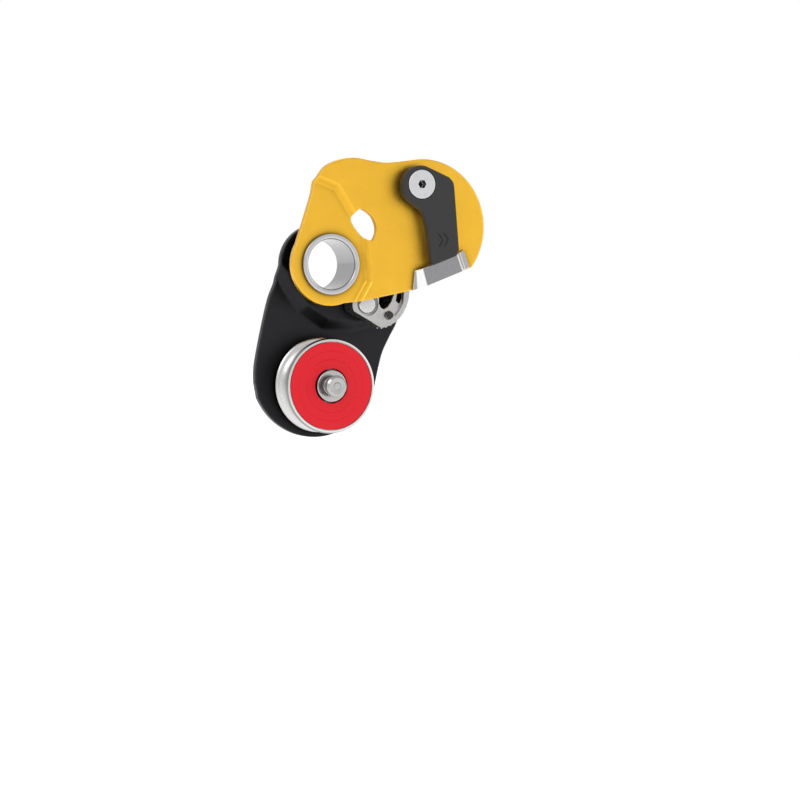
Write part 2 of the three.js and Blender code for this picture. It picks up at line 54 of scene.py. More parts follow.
EYE_BORE_R, SLEEVE_R, SLEEVE_FLANGE_R = 8.85, 9.85, 10.8
PLATE_BORE_R = SLEEVE_R + GAP
WASHER_R, WASHER_FRONT, WASHER_BACK = 12.2, -4.7, -4
SPACER_R, SPACER_HALF = 11.8, 3.7

AXLE = (0.9, -43)
NECK_R, HEAD_R, COLLAR_R, SHAFT_R, REAR_HEAD_R = 3.0, 3.87, 5.65, 4.7, 6.2
SHEAVE_R, TREAD_R, SHEAVE_HALF, GROOVE_R = 16.9, 12.5, 6, 4.6
DISC_R, DISC_BORE, DISC_THICK = 15.55, 6.1, 0.6
SHEAVE_BORE_R, BEARING_HOLE_R, CIRCLIP_GROOVE_R, BEARING_HALF = 6.9, 9.8, 10.8, 3
SLOT_HALF_WIDTH = 3.5

FRONT_PLATE = {"front": -9.5, "back": -7.0, "drop": 2.0, "ring_r": 14.7, "arc_from": 212}
REAR_PLATE = {"front": 7.2, "back": 10.2, "drop": -3.2, "ring_r": 14.3, "arc_from": 204}
BOTTOM, BOTTOM_R = (0.3, -37.8), 24

CAM_PIVOT = (15.7, -14.2)
CAM_FRONT, CAM_BACK, CAM_RIM_R, CAM_GROWTH, CAM_HUB_R = -4.4, 3.4, 15.7, 0.1, 5.9
CAM_TEETH_FROM, CAM_TEETH_TO, CAM_STEP = -55, 14, 2.0
CAM_BORE_R, CAM_PIN_R, CAM_PIN_HEAD_R, SPRING_POCKET_R = 3.2, 1.9, 3.3, 4.4
LOCK_BUTTON, BUTTON_R, BUTTON_HEAD_R = (8.1, -3.9), 0.7, 1.25

LEVER_PIVOT = (15.3, -40)
LEVER_FRONT, COVER_BACK, LATCH_FRONT, LATCH_BACK = -15.0, -13.2, -12.9, -11.8
LEVER_HEAD, LEVER_HEAD_R, COVER_SKIRT, COVER_WALL = (14.7, -39.6), 7.3, -11.9, 0.9
COVER_TIP, SKIRT_TIP, POCKET_TIP, LATCH_TIP = -13.2, -12.1, -12.4, -12.3
LEVER_BORE_R, SCREW_DISC_R, SCREW_SHANK_R, POST_R, POST_BORE_R = 3.0, 5.2, 1.5, 2.7, 1.8

BRIDGE_RIGHT, BRIDGE_LEFT, BRIDGE_FRONT, BRIDGE_BACK = -13.1, -19.6, -12.9, -11.8
RIVET_PLACES, RIVET_SHANK_R, RIVET_HEAD_R = [(-17.5, -27.7), (-16.6, -48)], 0.6, 1.0


# ------------------------------------------------------------------ outlines
def polar(r, deg, centre=(0, 0)):
    a = math.radians(deg)
    return (centre[0] + r * math.cos(a), centre[1] + r * math.sin(a))


def arc(centre, r, start, end, step=4):
    """Points of an arc, in degrees; anticlockwise where end is above start."""
    count = max(2, round(abs(end - start) / step))
    return [polar(r, start + (end - start) * i / count, centre) for i in range(count + 1)]


def circle(centre, r, step=4):
    """Points of a full circle, one every step degrees."""
    return arc(centre, r, 0, 360 - step, step)


def spline(points, steps=10):
    """A smooth curve through the points, which leaves out the first one."""
    ends = [points[0]] + list(points) + [points[-1]]
    out = []
    for a, b, c, d in zip(ends, ends[1:], ends[2:], ends[3:]):
        for i in range(1, steps + 1):
            t = i / steps
            out.append(tuple(
                0.5 * (2 * q + (r - p) * t + (2 * p - 5 * q + 4 * r - s) * t * t
                       + (3 * q - p - 3 * r + s) * t ** 3)
                for p, q, r, s in zip(a, b, c, d)))
    return out


def closed_spline(points, steps=8):
    """A smooth closed curve through the points."""
    count = len(points)
    long = spline([points[(i - 2) % count] for i in range(count + 4)], steps)
    return long[steps * 2:steps * (count + 2)]


def rounded(points, radius, steps=5):
    """The polygon with each corner rounded. radius is one number, or one for each corner."""
    radii = radius if isinstance(radius, (list, tuple)) else [radius] * len(points)
    out = []
    for i, (point, r) in enumerate(zip(points, radii)):
        here = Vector(point)
        to_last = (Vector(points[i - 1]) - here).normalized()
        to_next = (Vector(points[(i + 1) % len(points)]) - here).normalized()
        angle = to_last.angle(to_next)
        if r == 0 or angle > math.radians(178):
            out.append(tuple(point))
            continue
        middle = here + (to_last + to_next).normalized() * (r / math.sin(angle / 2))
        first = here + to_last * (r / math.tan(angle / 2)) - middle
        last = here + to_next * (r / math.tan(angle / 2)) - middle
        sweep = first.angle_signed(last)
        for k in range(steps + 1):
            turned_by = Matrix.Rotation(-sweep * k / steps, 2)
            out.append(tuple(middle + turned_by @ first))
    return out


def opened(point):
    """Where a point of the closed front plate lies once the plate is open."""
    x, _, z = OPENED @ Vector((point[0], 0, point[1]))
    return (x, z)


def signed_area(loop):
    return sum(a[0] * b[1] - b[0] * a[1] for a, b in zip(loop, loop[1:] + loop[:1])) / 2


def wound(loop, anticlockwise):
    """The loop without doubled points, in the asked direction."""
    clean = [p for p, q in zip(loop, loop[1:] + loop[:1]) if math.dist(p, q) > 1e-4]
    return clean if (signed_area(clean) > 0) == anticlockwise else clean[::-1]


def inset(loop, d):
    """The loop moved to its left by d, which is into the material."""
    out = []
    for i, point in enumerate(loop):
        here = Vector(point)
        before = (here - Vector(loop[i - 1])).normalized()
        after = (Vector(loop[(i + 1) % len(loop)]) - here).normalized()
        left = Vector((-before.y - after.y, before.x + after.x)).normalized()
        stretch = max(0.5, left.dot(Vector((-after.y, after.x))))
        out.append(tuple(here + left * (d / stretch)))
    return out


# ------------------------------------------------------------------ solids, as bmesh in mm
def bridge_rings(bm, first, second):
    for i, j in zip(range(len(first)), [*range(1, len(first)), 0]):
        bm.faces.new((first[i], first[j], second[j], second[i]))


def slab(outline, holes, front, back, edge, steps=3):
    """A plate in X and Z with all its edges rounded to the radius edge."""
    bm = bmesh.new()
    loops = [wound(outline, True)] + [wound(hole, False) for hole in holes]
    quarter = [math.pi / 2 * i / steps for i in range(steps + 1)]
    section = [(front + edge * (1 - math.sin(t)), edge * (1 - math.cos(t))) for t in quarter[::-1]]
    section += [(back - edge * (1 - math.sin(t)), edge * (1 - math.cos(t))) for t in quarter]
    ends = {0: [], -1: []}
    for loop in loops:
        rings = [[bm.verts.new((x, y, z)) for x, z in inset(loop, d)] for y, d in section]
        for first, second in zip(rings, rings[1:]):
            bridge_rings(bm, first, second)
        for end, rim in ends.items():
            ring = rings[end]
            rim += [bm.edges.get((a, b)) for a, b in zip(ring, ring[1:] + ring[:1])]
    for rim in ends.values():
        bmesh.ops.triangle_fill(bm, use_beauty=True, use_dissolve=False, edges=rim)
    bmesh.ops.recalc_face_normals(bm, faces=bm.faces)
    return bm


def turned(profile, centre=(0, 0), segments=96):
    """A body turned about an axis along Y, from (radius, y) corners in a closed round."""
    bm = bmesh.new()
    rings = []
    for r, y in profile:
        if r < 1e-6:
            rings.append([bm.verts.new((centre[0], y, centre[1]))])
            continue
        around = [polar(r, 360 * i / segments, centre) for i in range(segments)]
        rings.append([bm.verts.new((x, y, z)) for x, z in around])
    for first, second in zip(rings, rings[1:] + rings[:1]):
        if len(first) > 1 and len(second) > 1:
            bridge_rings(bm, first, second)
        elif len(first) + len(second) > 2:
            tip, ring = (first[0], second) if len(first) == 1 else (second[0], first)
            for a, b in zip(ring, ring[1:] + ring[:1]):
                bm.faces.new((a, b, tip))
    bmesh.ops.recalc_face_normals(bm, faces=bm.faces)
    return bm


def collar(bore_r, r, front, back, edge):
    """The profile of a plain ring, its corners rounded to the radius edge."""
    return rounded([(bore_r, front), (r, front), (r, back), (bore_r, back)], edge, 3)


def helix(r, y_front, y_back, turns, wire_r, centre):
    """A coil of round wire about an axis along Y."""
    bm = bmesh.new()
    steps, sides = int(turns * 32), 10
    rings = []
    for i in range(steps + 1):
        t = i / steps
        a = 2 * math.pi * turns * t
        out = Vector((math.cos(a), 0, math.sin(a)))
        middle = Vector((centre[0], y_front + (y_back - y_front) * t, centre[1])) + out * r
        ring = []
        for k in range(sides):
            b = 2 * math.pi * k / sides
            ring.append(bm.verts.new(middle + (out * math.cos(b) + Vector((0, math.sin(b), 0))) * wire_r))
        rings.append(ring)
    for first, second in zip(rings, rings[1:]):
        bridge_rings(bm, first, second)
    bm.faces.new(rings[0])
    bm.faces.new(rings[-1])
    bmesh.ops.recalc_face_normals(bm, faces=bm.faces)
    return bm


def as_object(bm, name="part"):
    mesh = bpy.data.meshes.new(name)
    bm.to_mesh(mesh)
    bm.free()
    obj = bpy.data.objects.new(name, mesh)
    bpy.context.scene.collection.objects.link(obj)
    return obj


def combined(bm, *others, operation="DIFFERENCE"):
    """bm cut by, or joined with, the others."""
    body = as_object(bm)
    helpers = [as_object(other, "helper") for other in others]
    for helper in helpers:
        boolean = body.modifiers.new("boolean", "BOOLEAN")
        boolean.operation, boolean.solver, boolean.object = operation, "EXACT", helper
    evaluated = body.evaluated_get(bpy.context.evaluated_depsgraph_get())
    result = bmesh.new()
    result.from_mesh(evaluated.to_mesh())
    evaluated.to_mesh_clear()
    for obj in [body, *helpers]:
        bpy.data.meshes.remove(obj.data)
    bmesh.ops.remove_doubles(result, verts=result.verts, dist=1e-4)
    return result


def piece(name, bm, body, look, nodes, place=None, soften=0.0, sharp=34):
    """Finishes the bmesh as a piece: in metres, smooth-shaded, and riding on its body.

    Edges that bend by more than sharp degrees stay crisp, or get a bevel soften mm wide.
    """
    obj = as_object(bm, name)
    mesh = obj.data
    mesh.transform(Matrix.Scale(MM, 4) @ (place or Matrix.Identity(4)))
    mesh.polygons.foreach_set("use_smooth", [True] * len(mesh.polygons))
    if soften:
        bevel = obj.modifiers.new("soften", "BEVEL")
        bevel.width, bevel.segments, bevel.limit_method = soften * MM, 2, "ANGLE"
        bevel.angle_limit = math.radians(sharp)
    else:
        mesh.set_sharp_from_angle(angle=math.radians(sharp))
    weighted = obj.modifiers.new("normals", "WEIGHTED_NORMAL")
    weighted.keep_sharp, weighted.weight = True, 80
    dress(obj, look)
    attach(obj, body)
    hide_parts(*nodes)


def dress(obj, look):
    """Gives the piece one of the looks: its material."""
    obj.data.materials.clear()
    obj.data.materials.append(look["material"])


# ------------------------------------------------------------------ materials
class Nodes:
    """A material's node tree, with short calls to add and join nodes."""

    def __init__(self, name, color, metallic, roughness):
        self.material = bpy.data.materials.new(name)
        self.material.use_nodes = True
        self.tree = self.material.node_tree
        self.shader = self.tree.nodes["Principled BSDF"]
        self.shader.inputs["Base Color"].default_value = shaded(color)
        self.shader.inputs["Metallic"].default_value = metallic
        self.shader.inputs["Roughness"].default_value = roughness
        self.place = self.add("ShaderNodeTexCoord").outputs["Object"]

    def add(self, kind, settings=None, **inputs):
        """Adds a node. An input is given by its name, or by an underscore and its number."""
        node = self.tree.nodes.new(kind)
        for key, value in (settings or {}).items():
            setattr(node, key, value)
        for key, value in inputs.items():
            socket = node.inputs[int(key[1:]) if key[0] == "_" else key.replace("_", " ")]
            if isinstance(value, bpy.types.NodeSocket):
                self.tree.links.new(value, socket)
            else:
                socket.default_value = value
        return node

    def noise(self, size, detail=3, place=None, rough=0.6):
        """Soft noise from 0 to 1, with lumps about size mm across."""
        node = self.add("ShaderNodeTexNoise", Scale=1 / (size * MM), Detail=detail, Roughness=rough,
                        Vector=place or self.place)
        return node.outputs["Fac"]

    def span(self, value, low, high, to_low=0.0, to_high=1.0):
        node = self.add("ShaderNodeMapRange", Value=value, From_Min=low, From_Max=high,
                        To_Min=to_low, To_Max=to_high)
        return node.outputs["Result"]

    def math(self, operation, a, b=0.0):
        return self.add("ShaderNodeMath", {"operation": operation}, _0=a, _1=b).outputs[0]

    def mix(self, factor, a, b):
        node = self.add("ShaderNodeMix", {"data_type": "RGBA"}, _0=factor, _6=a, _7=b)
        return node.outputs[2]

    def bump(self, height, depth, normal=None):
        """Raises the surface by height times depth mm."""
        inputs = {"Height": height, "Distance": depth * MM, "Strength": 1.0}
        if normal:
            inputs["Normal"] = normal
        return self.add("ShaderNodeBump", **inputs).outputs["Normal"]

    def edges(self, width):
        """0 on open faces, up to 1 along rounded edges about width mm across."""
        soft = self.add("ShaderNodeBevel", {"samples": 4}, Radius=width * MM).outputs["Normal"]
        flat = self.add("ShaderNodeNewGeometry").outputs["Normal"]
        near = self.add("ShaderNodeVectorMath", {"operation": "DOT_PRODUCT"}, _0=soft, _1=flat)
        return self.span(near.outputs["Value"], 0.985, 0.88)

    def fold_shade(self, reach):
        """Ambient occlusion, used for painted shade: 0 on open faces, up to 1 in grooves and folds about
        reach mm wide.
        """
        node = self.add("ShaderNodeAmbientOcclusion", {"samples": 8}, Distance=reach * MM)
        return self.span(node.outputs["AO"], 0.97, 0.7)

    def join(self, value, socket):
        self.tree.links.new(value, self.shader.inputs[socket])

    def stretched(self, x, y, z):
        """The place with each axis squeezed, so that noise on it runs in streaks."""
        return self.add("ShaderNodeMapping", _0=self.place, _3=(x, y, z)).outputs[0]

    def radius(self, centre):
        """Distance from an axis along Y through centre (mm), in metres."""
        x, z = centre[0] * MM, centre[1] * MM
        moved = self.add("ShaderNodeVectorMath", {"operation": "SUBTRACT"}, _0=self.place, _1=(x, 0, z))
        flat = self.add("ShaderNodeVectorMath", {"operation": "MULTIPLY"}, _0=moved.outputs[0],
                        _1=(1, 0, 1))
        length = self.add("ShaderNodeVectorMath", {"operation": "LENGTH"}, _0=flat.outputs[0])
        return length.outputs["Value"]

    def rings(self, radius, pitch):
        """Noise that changes with the radius only: fine rings, pitch mm apart."""
        node = self.add("ShaderNodeTexNoise", {"noise_dimensions": "1D"}, W=radius,
                        Scale=1 / (pitch * MM), Detail=2.0)
        return node.outputs["Fac"]

    def slant(self, begins, full):
        """0 on faces to the front or back, 1 where the normal's share along Y is below full."""
        normal = self.add("ShaderNodeTexCoord").outputs["Normal"]
        facing = self.add("ShaderNodeSeparateXYZ", _0=normal).outputs["Y"]
        return self.span(self.math("ABSOLUTE", facing), begins, full)

    def look(self, slot):
        return {"material": self.material, "slot": slot}


# Painted shade for the inside of sockets in turned parts.
SOCKET_SHADE = (0.012, 0.012, 0.012, 1)
# Painted highlight for the bends and edges of rolled strip.
BEND_HIGHLIGHT = (0.72, 0.72, 0.72, 1)


def shaded(color, factor=1.0):
    """The colour multiplied by factor, with an alpha of 1."""
    return (*(c * factor for c in color), 1)


def anodised(name, color, rubbed_and_highlight_color, roughness, rubbed_and_highlight_amount):
    """Bead-blasted anodised aluminium: satin grain, slight tone change, painted shade in folds, and paler
    edges: partly rubbed, partly a painted highlight.
    """
    n = Nodes(name, color, 0.9, roughness)
    grain = n.noise(0.09, 2)
    cloud = n.noise(9, 4)
    tone = n.mix(n.span(cloud, 0.3, 0.7), shaded(color, 0.93), shaded(color))
    scuffs = n.span(n.noise(0.9, 5, rough=0.75), 0.42, 0.62)
    # Paler edges: partly rubbed bare in scuffed patches, partly a painted highlight along the rounded rims.
    rubbed_and_highlight = n.math("MULTIPLY", n.math("MULTIPLY", n.edges(0.5), scuffs), rubbed_and_highlight_amount)
    # Painted shade: the folds and grooves are darkened towards 0.4 of the colour.
    tone = n.mix(n.fold_shade(3), tone, shaded(color, 0.4))
    n.join(n.mix(rubbed_and_highlight, tone, shaded(rubbed_and_highlight_color)), "Base Color")
    n.join(n.span(n.noise(2.5, 5), 0.25, 0.75, roughness - 0.05, roughness + 0.07), "Roughness")
    n.join(n.bump(grain, 0.006), "Normal")
    return n.look(name)


def turned_metal(name, slot, color, roughness, centre, pitch=0.11, dark_inside=0, wall_shade=1.0):
    """Lathe-turned: fine concentric lines about an axis, and faint handling marks.

    What lies nearer the axis than dark_inside mm is painted almost black: painted shade in the socket.
    Walls that don't face the front or the back have their colour multiplied by wall_shade: painted shade on
    the walls.
    """
    n = Nodes(name, color, 1.0, roughness)
    r = n.radius(centre)
    lines = n.rings(r, pitch)
    marks = n.noise(1.6, 6, rough=0.7)
    clean = n.mix(n.span(lines, 0.3, 0.7), shaded(color, 0.9), shaded(color))
    # Painted shade: the socket nearer the axis is made almost black.
    socket_shaded = n.span(r, dark_inside * MM, (dark_inside - 0.1) * MM) if dark_inside else 0.0
    # Painted shade: walls that don't face the front or the back are darkened by a given factor.
    clean = n.mix(n.slant(0.95, 0.6), clean, shaded(color, wall_shade))
    n.join(n.mix(socket_shaded, clean, SOCKET_SHADE), "Base Color")
    n.join(n.span(marks, 0.3, 0.75, roughness - 0.06, roughness + 0.1), "Roughness")
    n.join(n.bump(lines, 0.004, n.bump(n.noise(0.5, 3), 0.001)), "Normal")
    return n.look(slot)


def cast_steel(name, slot, color, roughness, grain=0.25, depth=0.006):
    """Tumbled cast or forged steel: a soft fine pebble and uneven gloss."""
    n = Nodes(name, color, 1.0, roughness)
    n.join(n.mix(n.span(n.noise(2.2, 4), 0.3, 0.7), shaded(color, 0.86), shaded(color)), "Base Color")
    n.join(n.span(n.noise(0.8, 4), 0.3, 0.7, roughness - 0.07, roughness + 0.08), "Roughness")
    n.join(n.bump(n.noise(grain, 3), depth), "Normal")
    return n.look(slot)


def brushed_steel(name, slot, color, roughness, squeeze):
    """Rolled strip: fine streaks along one direction, and a painted highlight on bends and edges."""
    n = Nodes(name, color, 1.0, roughness)
    streaks = n.noise(0.12, 3, n.stretched(*squeeze))
    brushed = n.mix(n.span(streaks, 0.3, 0.7), shaded(color, 0.88), shaded(color))
    # Painted highlight: faces that turn away from the front, at bends and edges, are lightened towards pale
    # grey.
    n.join(n.mix(n.slant(0.985, 0.9), brushed, BEND_HIGHLIGHT), "Base Color")
    n.join(n.span(streaks, 0.3, 0.7, roughness - 0.06, roughness + 0.08), "Roughness")
    n.join(n.bump(streaks, 0.003), "Normal")
    return n.look(slot)


def moulded_plastic(name, slot, color, roughness, depth=0.014):
    """Glass-filled moulded plastic: a fine spark-eroded grain, and a painted sheen that makes the edges
    paler, as where fingers rub them.
    """
    n = Nodes(name, color, 0.0, roughness)
    grain = n.add("ShaderNodeTexVoronoi", {"feature": "SMOOTH_F1"}, Vector=n.place,
                  Scale=1 / (0.22 * MM)).outputs["Distance"]
    # Painted sheen along the edges, together with finger rubbing: edges are lightened towards 1.8 times the
    # colour.
    shine = n.math("MULTIPLY", n.edges(0.6), 0.35)
    n.join(n.mix(shine, shaded(color), shaded(color, 1.8)), "Base Color")
    n.join(n.span(n.noise(1.5, 4), 0.3, 0.7, roughness - 0.06, roughness + 0.08), "Roughness")
    n.join(n.bump(grain, depth), "Normal")
    n.shader.inputs["Specular IOR Level"].default_value = 0.3
    return n.look(slot)


def painted_disc(name, slot, color, roughness, centre):
    """A coloured face with fine turned rings showing through."""
    n = Nodes(name, color, 0.15, roughness)
    rings = n.rings(n.radius(centre), 0.16)
    dust = n.span(n.noise(0.7, 6, rough=0.8), 0.56, 0.74, 0.0, 0.25)
    n.join(n.mix(dust, shaded(color), shaded([c * 1.25 + 0.05 for c in color])), "Base Color")
    n.join(n.span(rings, 0.3, 0.7, roughness - 0.07, roughness + 0.07), "Roughness")
    n.join(n.bump(rings, 0.005), "Normal")
    n.shader.inputs["Specular IOR Level"].default_value = 0.25
    return n.look(slot)


# Their paler edge colours are partly rubbed metal and partly a painted edge highlight.
GOLD = anodised("gold_anodised", (0.74, 0.42, 0.036), (0.88, 0.72, 0.42), 0.36, 0.55)
BLACK = anodised("black_anodised", (0.020, 0.020, 0.022), (0.35, 0.35, 0.36), 0.36, 0.35)
# The sleeve, axle and sheave get painted shade on their walls.
SLEEVE_STEEL = turned_metal("sleeve_steel", "polished_steel", (0.50, 0.50, 0.51), 0.2, (0, 0),
                            wall_shade=0.6)
AXLE_STEEL = turned_metal("axle_steel", "polished_steel", (0.46, 0.455, 0.45), 0.2, AXLE, wall_shade=0.6)
SHEAVE_METAL = turned_metal("sheave_aluminium", "turned_aluminium", (0.60, 0.595, 0.59), 0.26, AXLE,
                            wall_shade=0.42)
CAM_STEEL = cast_steel("cam_steel", "polished_steel", (0.46, 0.455, 0.45), 0.3)
PIN_STEEL = turned_metal("pin_steel", "polished_steel", (0.56, 0.56, 0.56), 0.24, CAM_PIVOT)
RED = painted_disc("red_disc", "red_disc", (0.58, 0.007, 0.016), 0.42, AXLE)
PLASTIC = moulded_plastic("black_plastic", "black_plastic", (0.020, 0.020, 0.021), 0.5)
STRIP_STEEL = brushed_steel("strip_steel", "polished_steel", (0.27, 0.27, 0.28), 0.27, (1, 1, 0.06))
LATCH_STEEL = brushed_steel("latch_steel", "polished_steel", (0.66, 0.66, 0.67), 0.24, (0.1, 1, 1))
# The screw's hex socket gets painted shade through dark_inside.
SCREW_STEEL = turned_metal("screw_steel", "turned_aluminium", (0.58, 0.58, 0.59), 0.3,
                           opened(LEVER_PIVOT), 0.14, dark_inside=1.38)
DARK_STEEL = cast_steel("spring_steel", "bearing_steel", (0.30, 0.30, 0.31), 0.3, 0.15, 0.002)
BALL_STEEL = cast_steel("ball_steel", "polished_steel", (0.75, 0.75, 0.75), 0.12, 0.3, 0.0006)
NYLON = moulded_plastic("pale_nylon", "pale_nylon", (0.69, 0.66, 0.56), 0.5, 0.006)


# ------------------------------------------------------------------ side plates
def plate_outline(plate, left_edge, slot=()):
    """Ring round the eye, left edge, round lower end, and a bulge that covers the cam."""
    loop = arc((0, 0), plate["ring_r"], 40, 180, 3)
    loop += spline([loop[-1], *left_edge])
    loop += slot
    loop += arc(BOTTOM, BOTTOM_R, plate["arc_from"], 350, 3)
    return loop + spline([loop[-1], (26.3, -32.5), (29.2, -26.5), (32.4, -20.5), (33.5, -14), (32.8, -9),
                          (29.6, -4.6), (25.4, -1.9), (18.2, 3.8)])


def ring_side(points, crease):
    """For each (x, z) row: the distance to the crease line, above 0 on the eye's side of it."""
    above = 60
    polygon = np.array([*crease, (crease[-1][0], above), (crease[0][0], above)])
    inside = np.zeros(len(points), bool)
    for (x0, z0), (x1, z1) in zip(polygon, np.roll(polygon, -1, axis=0)):
        crosses = (z0 > points[:, 1]) != (z1 > points[:, 1])
        rise = (z1 - z0) or 1e-9
        inside ^= crosses & (points[:, 0] < (x1 - x0) * (points[:, 1] - z0) / rise + x0)
    nearest = np.full(len(points), 1e9)
    for start, end in zip(np.array(crease), np.array(crease[1:])):
        along = end - start
        t = np.clip((points - start) @ along / (along @ along), 0, 1)
        nearest = np.minimum(nearest, np.linalg.norm(points - start - t[:, None] * along, axis=1))
    return np.where(inside, nearest, -nearest)


def split_along(bm, point, normal):
    everything = bm.verts[:] + bm.edges[:] + bm.faces[:]
    bmesh.ops.bisect_plane(bm, geom=everything, dist=1e-5, plane_co=point, plane_no=normal)


def cut_in_squares(bm, size):
    """Cuts the surface across X and across Z, every size mm."""
    for axis in (0, 2):
        values = [v.co[axis] for v in bm.verts]
        low, high = min(values), max(values)
        for i in range(int((high - low) / size)):
            normal = Vector((axis == 0, 0, axis == 2))
            split_along(bm, normal * (low + (i + 0.5) * size), normal)


def cut_beside(bm, crease, run, fold):
    """Cuts along each line of the crease, where the slope and its two bends begin and end."""
    for start, end in zip(crease, crease[1:]):
        across = Vector((end[1] - start[1], 0, start[0] - end[0])).normalized()
        for shift in (-fold / 2, 0, fold / 2, run - fold / 2, run, run + fold / 2):
            for side in (-1, 1):
                split_along(bm, Vector((start[0], 0, start[1])) + across * shift * side, across)


def pressed(bm, crease, drop, fold):
    """Presses the eye's side of the crease back by drop, or forward where drop is below 0.

    It is joined to the rest by a 45 degree slope, and fold is how wide each of its two bends is.
    """
    run = abs(drop)
    cut_in_squares(bm, 0.8)
    cut_beside(bm, crease, run, fold)
    places = np.array([(v.co.x, v.co.z) for v in bm.verts])
    out = -ring_side(places, crease)

    def area_under(u):
        return np.where(u < 0, 0, np.where(u < run, u * u / (2 * run), u - run / 2))

    risen = (area_under(out + fold / 2) - area_under(out - fold / 2)) / fold
    for vert, t in zip(bm.verts, risen):
        vert.co.y += drop * (1 - t)
    bmesh.ops.recalc_face_normals(bm, faces=bm.faces)


def slot_in_edge(edge_x):
    """The left edge's way into the slot: an arc about the eye, round the axle's neck, and back out."""
    reach = math.hypot(*AXLE)
    near, far = reach - SLOT_HALF_WIDTH, reach + SLOT_HALF_WIDTH
    end = math.degrees(math.atan2(AXLE[1], AXLE[0])) + 360
    lips = [math.degrees(math.pi + math.acos(-edge_x / r)) for r in (near, far)]
    upper, lower = (-math.sqrt(r * r - edge_x * edge_x) for r in (near, far))
    return ([(edge_x, upper + 0.5), polar(near, lips[0] + 0.15)]
            + arc((0, 0), near, lips[0] + 0.8, end)
            + arc(AXLE, SLOT_HALF_WIDTH, end - 186, end - 354, 6)
            + arc((0, 0), far, end, lips[1] + 0.7)
            + [polar(far, lips[1] + 0.15), (edge_x, lower - 0.5)])


WINDOW = [(14.5, -16.1), (13.5, -18.1), (9.8, -20.3), (5.4, -20), (2.6, -17.2), (5.9, -14.3), (12, -12.9)]
FRONT_CREASE = [(40, 7.5), (24.1, -10.6), (4.45, -14.8), (-10.2, -10.55), (-15.9, -3.3), (-22, 5.2)]
REAR_CREASE = [(44, -12), (33, -14.5), (24, -18.5), (14, -20.6), (4, -19.6), (-4, -14.5), (-9.5, -7),
               (-11.4, -2.8), (-17, 1.8), (-22, 5.5)]


def make_front_plate():
    edge_x = -19.8
    outline = plate_outline(FRONT_PLATE, [(-16.2, -6), (-17.4, -13.2), (-19.2, -24.5), (edge_x, -31.5)],
                            [*slot_in_edge(edge_x), (edge_x - 0.2, -48)])
    holes = [circle((0, 0), PLATE_BORE_R), closed_spline(WINDOW), circle(LEVER_PIVOT, LEVER_BORE_R, 8)]
    holes += [circle(place, RIVET_SHANK_R + 0.2, 15) for place in RIVET_PLACES]
    bm = slab(outline, holes, FRONT_PLATE["front"], FRONT_PLATE["back"], 0.35)
    pressed(bm, FRONT_CREASE, FRONT_PLATE["drop"], 0.9)
    piece("gold_side_plate", bm, "plate_body", GOLD, ["moving_side_plate"], OPENED)


def make_rear_plate():
    outline = plate_outline(REAR_PLATE, [(-14.9, -6), (-17.4, -12.5), (-20.2, -24), (-22.5, -35.7),
                                         (-22.7, -42)])
    holes = [circle((0, 0), PLATE_BORE_R), circle(AXLE, SHAFT_R + GAP, 6),
             circle(CAM_PIVOT, CAM_PIN_R + GAP, 10)]
    bm = slab(outline, holes, REAR_PLATE["front"], REAR_PLATE["back"], 0.45)
    pressed(bm, REAR_CREASE, REAR_PLATE["drop"], 1.6)
    piece("black_side_plate", bm, "frame", BLACK, ["fixed_side_plate"])


# ------------------------------------------------------------------ connector eye
def make_eye():
    ring_front = FRONT_PLATE["front"] + FRONT_PLATE["drop"]
    ring_back = REAR_PLATE["back"] + REAR_PLATE["drop"]
    front_in, front_out = ring_front - 0.15, ring_front - 1.2
    back_in, back_out = ring_back + 0.15, ring_back + 1.2
    corners = [(EYE_BORE_R, front_out), (SLEEVE_FLANGE_R, front_out), (SLEEVE_FLANGE_R, front_in),
               (SLEEVE_R, front_in), (SLEEVE_R, back_in), (SLEEVE_FLANGE_R, back_in),
               (SLEEVE_FLANGE_R, back_out), (EYE_BORE_R, back_out)]
    profile = rounded(corners, [0.75, 0.45, 0.1, 0.05, 0.05, 0.1, 0.45, 0.75], 6)
    piece("eye_sleeve_steel", turned(profile, segments=128), "frame", SLEEVE_STEEL, ["eye_sleeve"])
    washer = collar(PLATE_BORE_R, WASHER_R, WASHER_FRONT, WASHER_BACK, 0.15)
    piece("swing_washer_plastic", turned(washer), "frame", PLASTIC, ["swing_washer"])
    spacer = collar(PLATE_BORE_R, SPACER_R, -SPACER_HALF, SPACER_HALF, 0.3)
    piece("plate_spacer_metal", turned(spacer), "frame", BLACK, ["plate_spacer"])


# ------------------------------------------------------------------ sheave and axle
def groove_profile():
    """The rope groove, from its rear rim round to its front one."""
    centre = TREAD_R + GROOVE_R
    edge = math.degrees(math.acos((SHEAVE_R - 0.45 - centre) / GROOVE_R))
    return arc((centre, 0), GROOVE_R, edge, 360 - edge, 6)


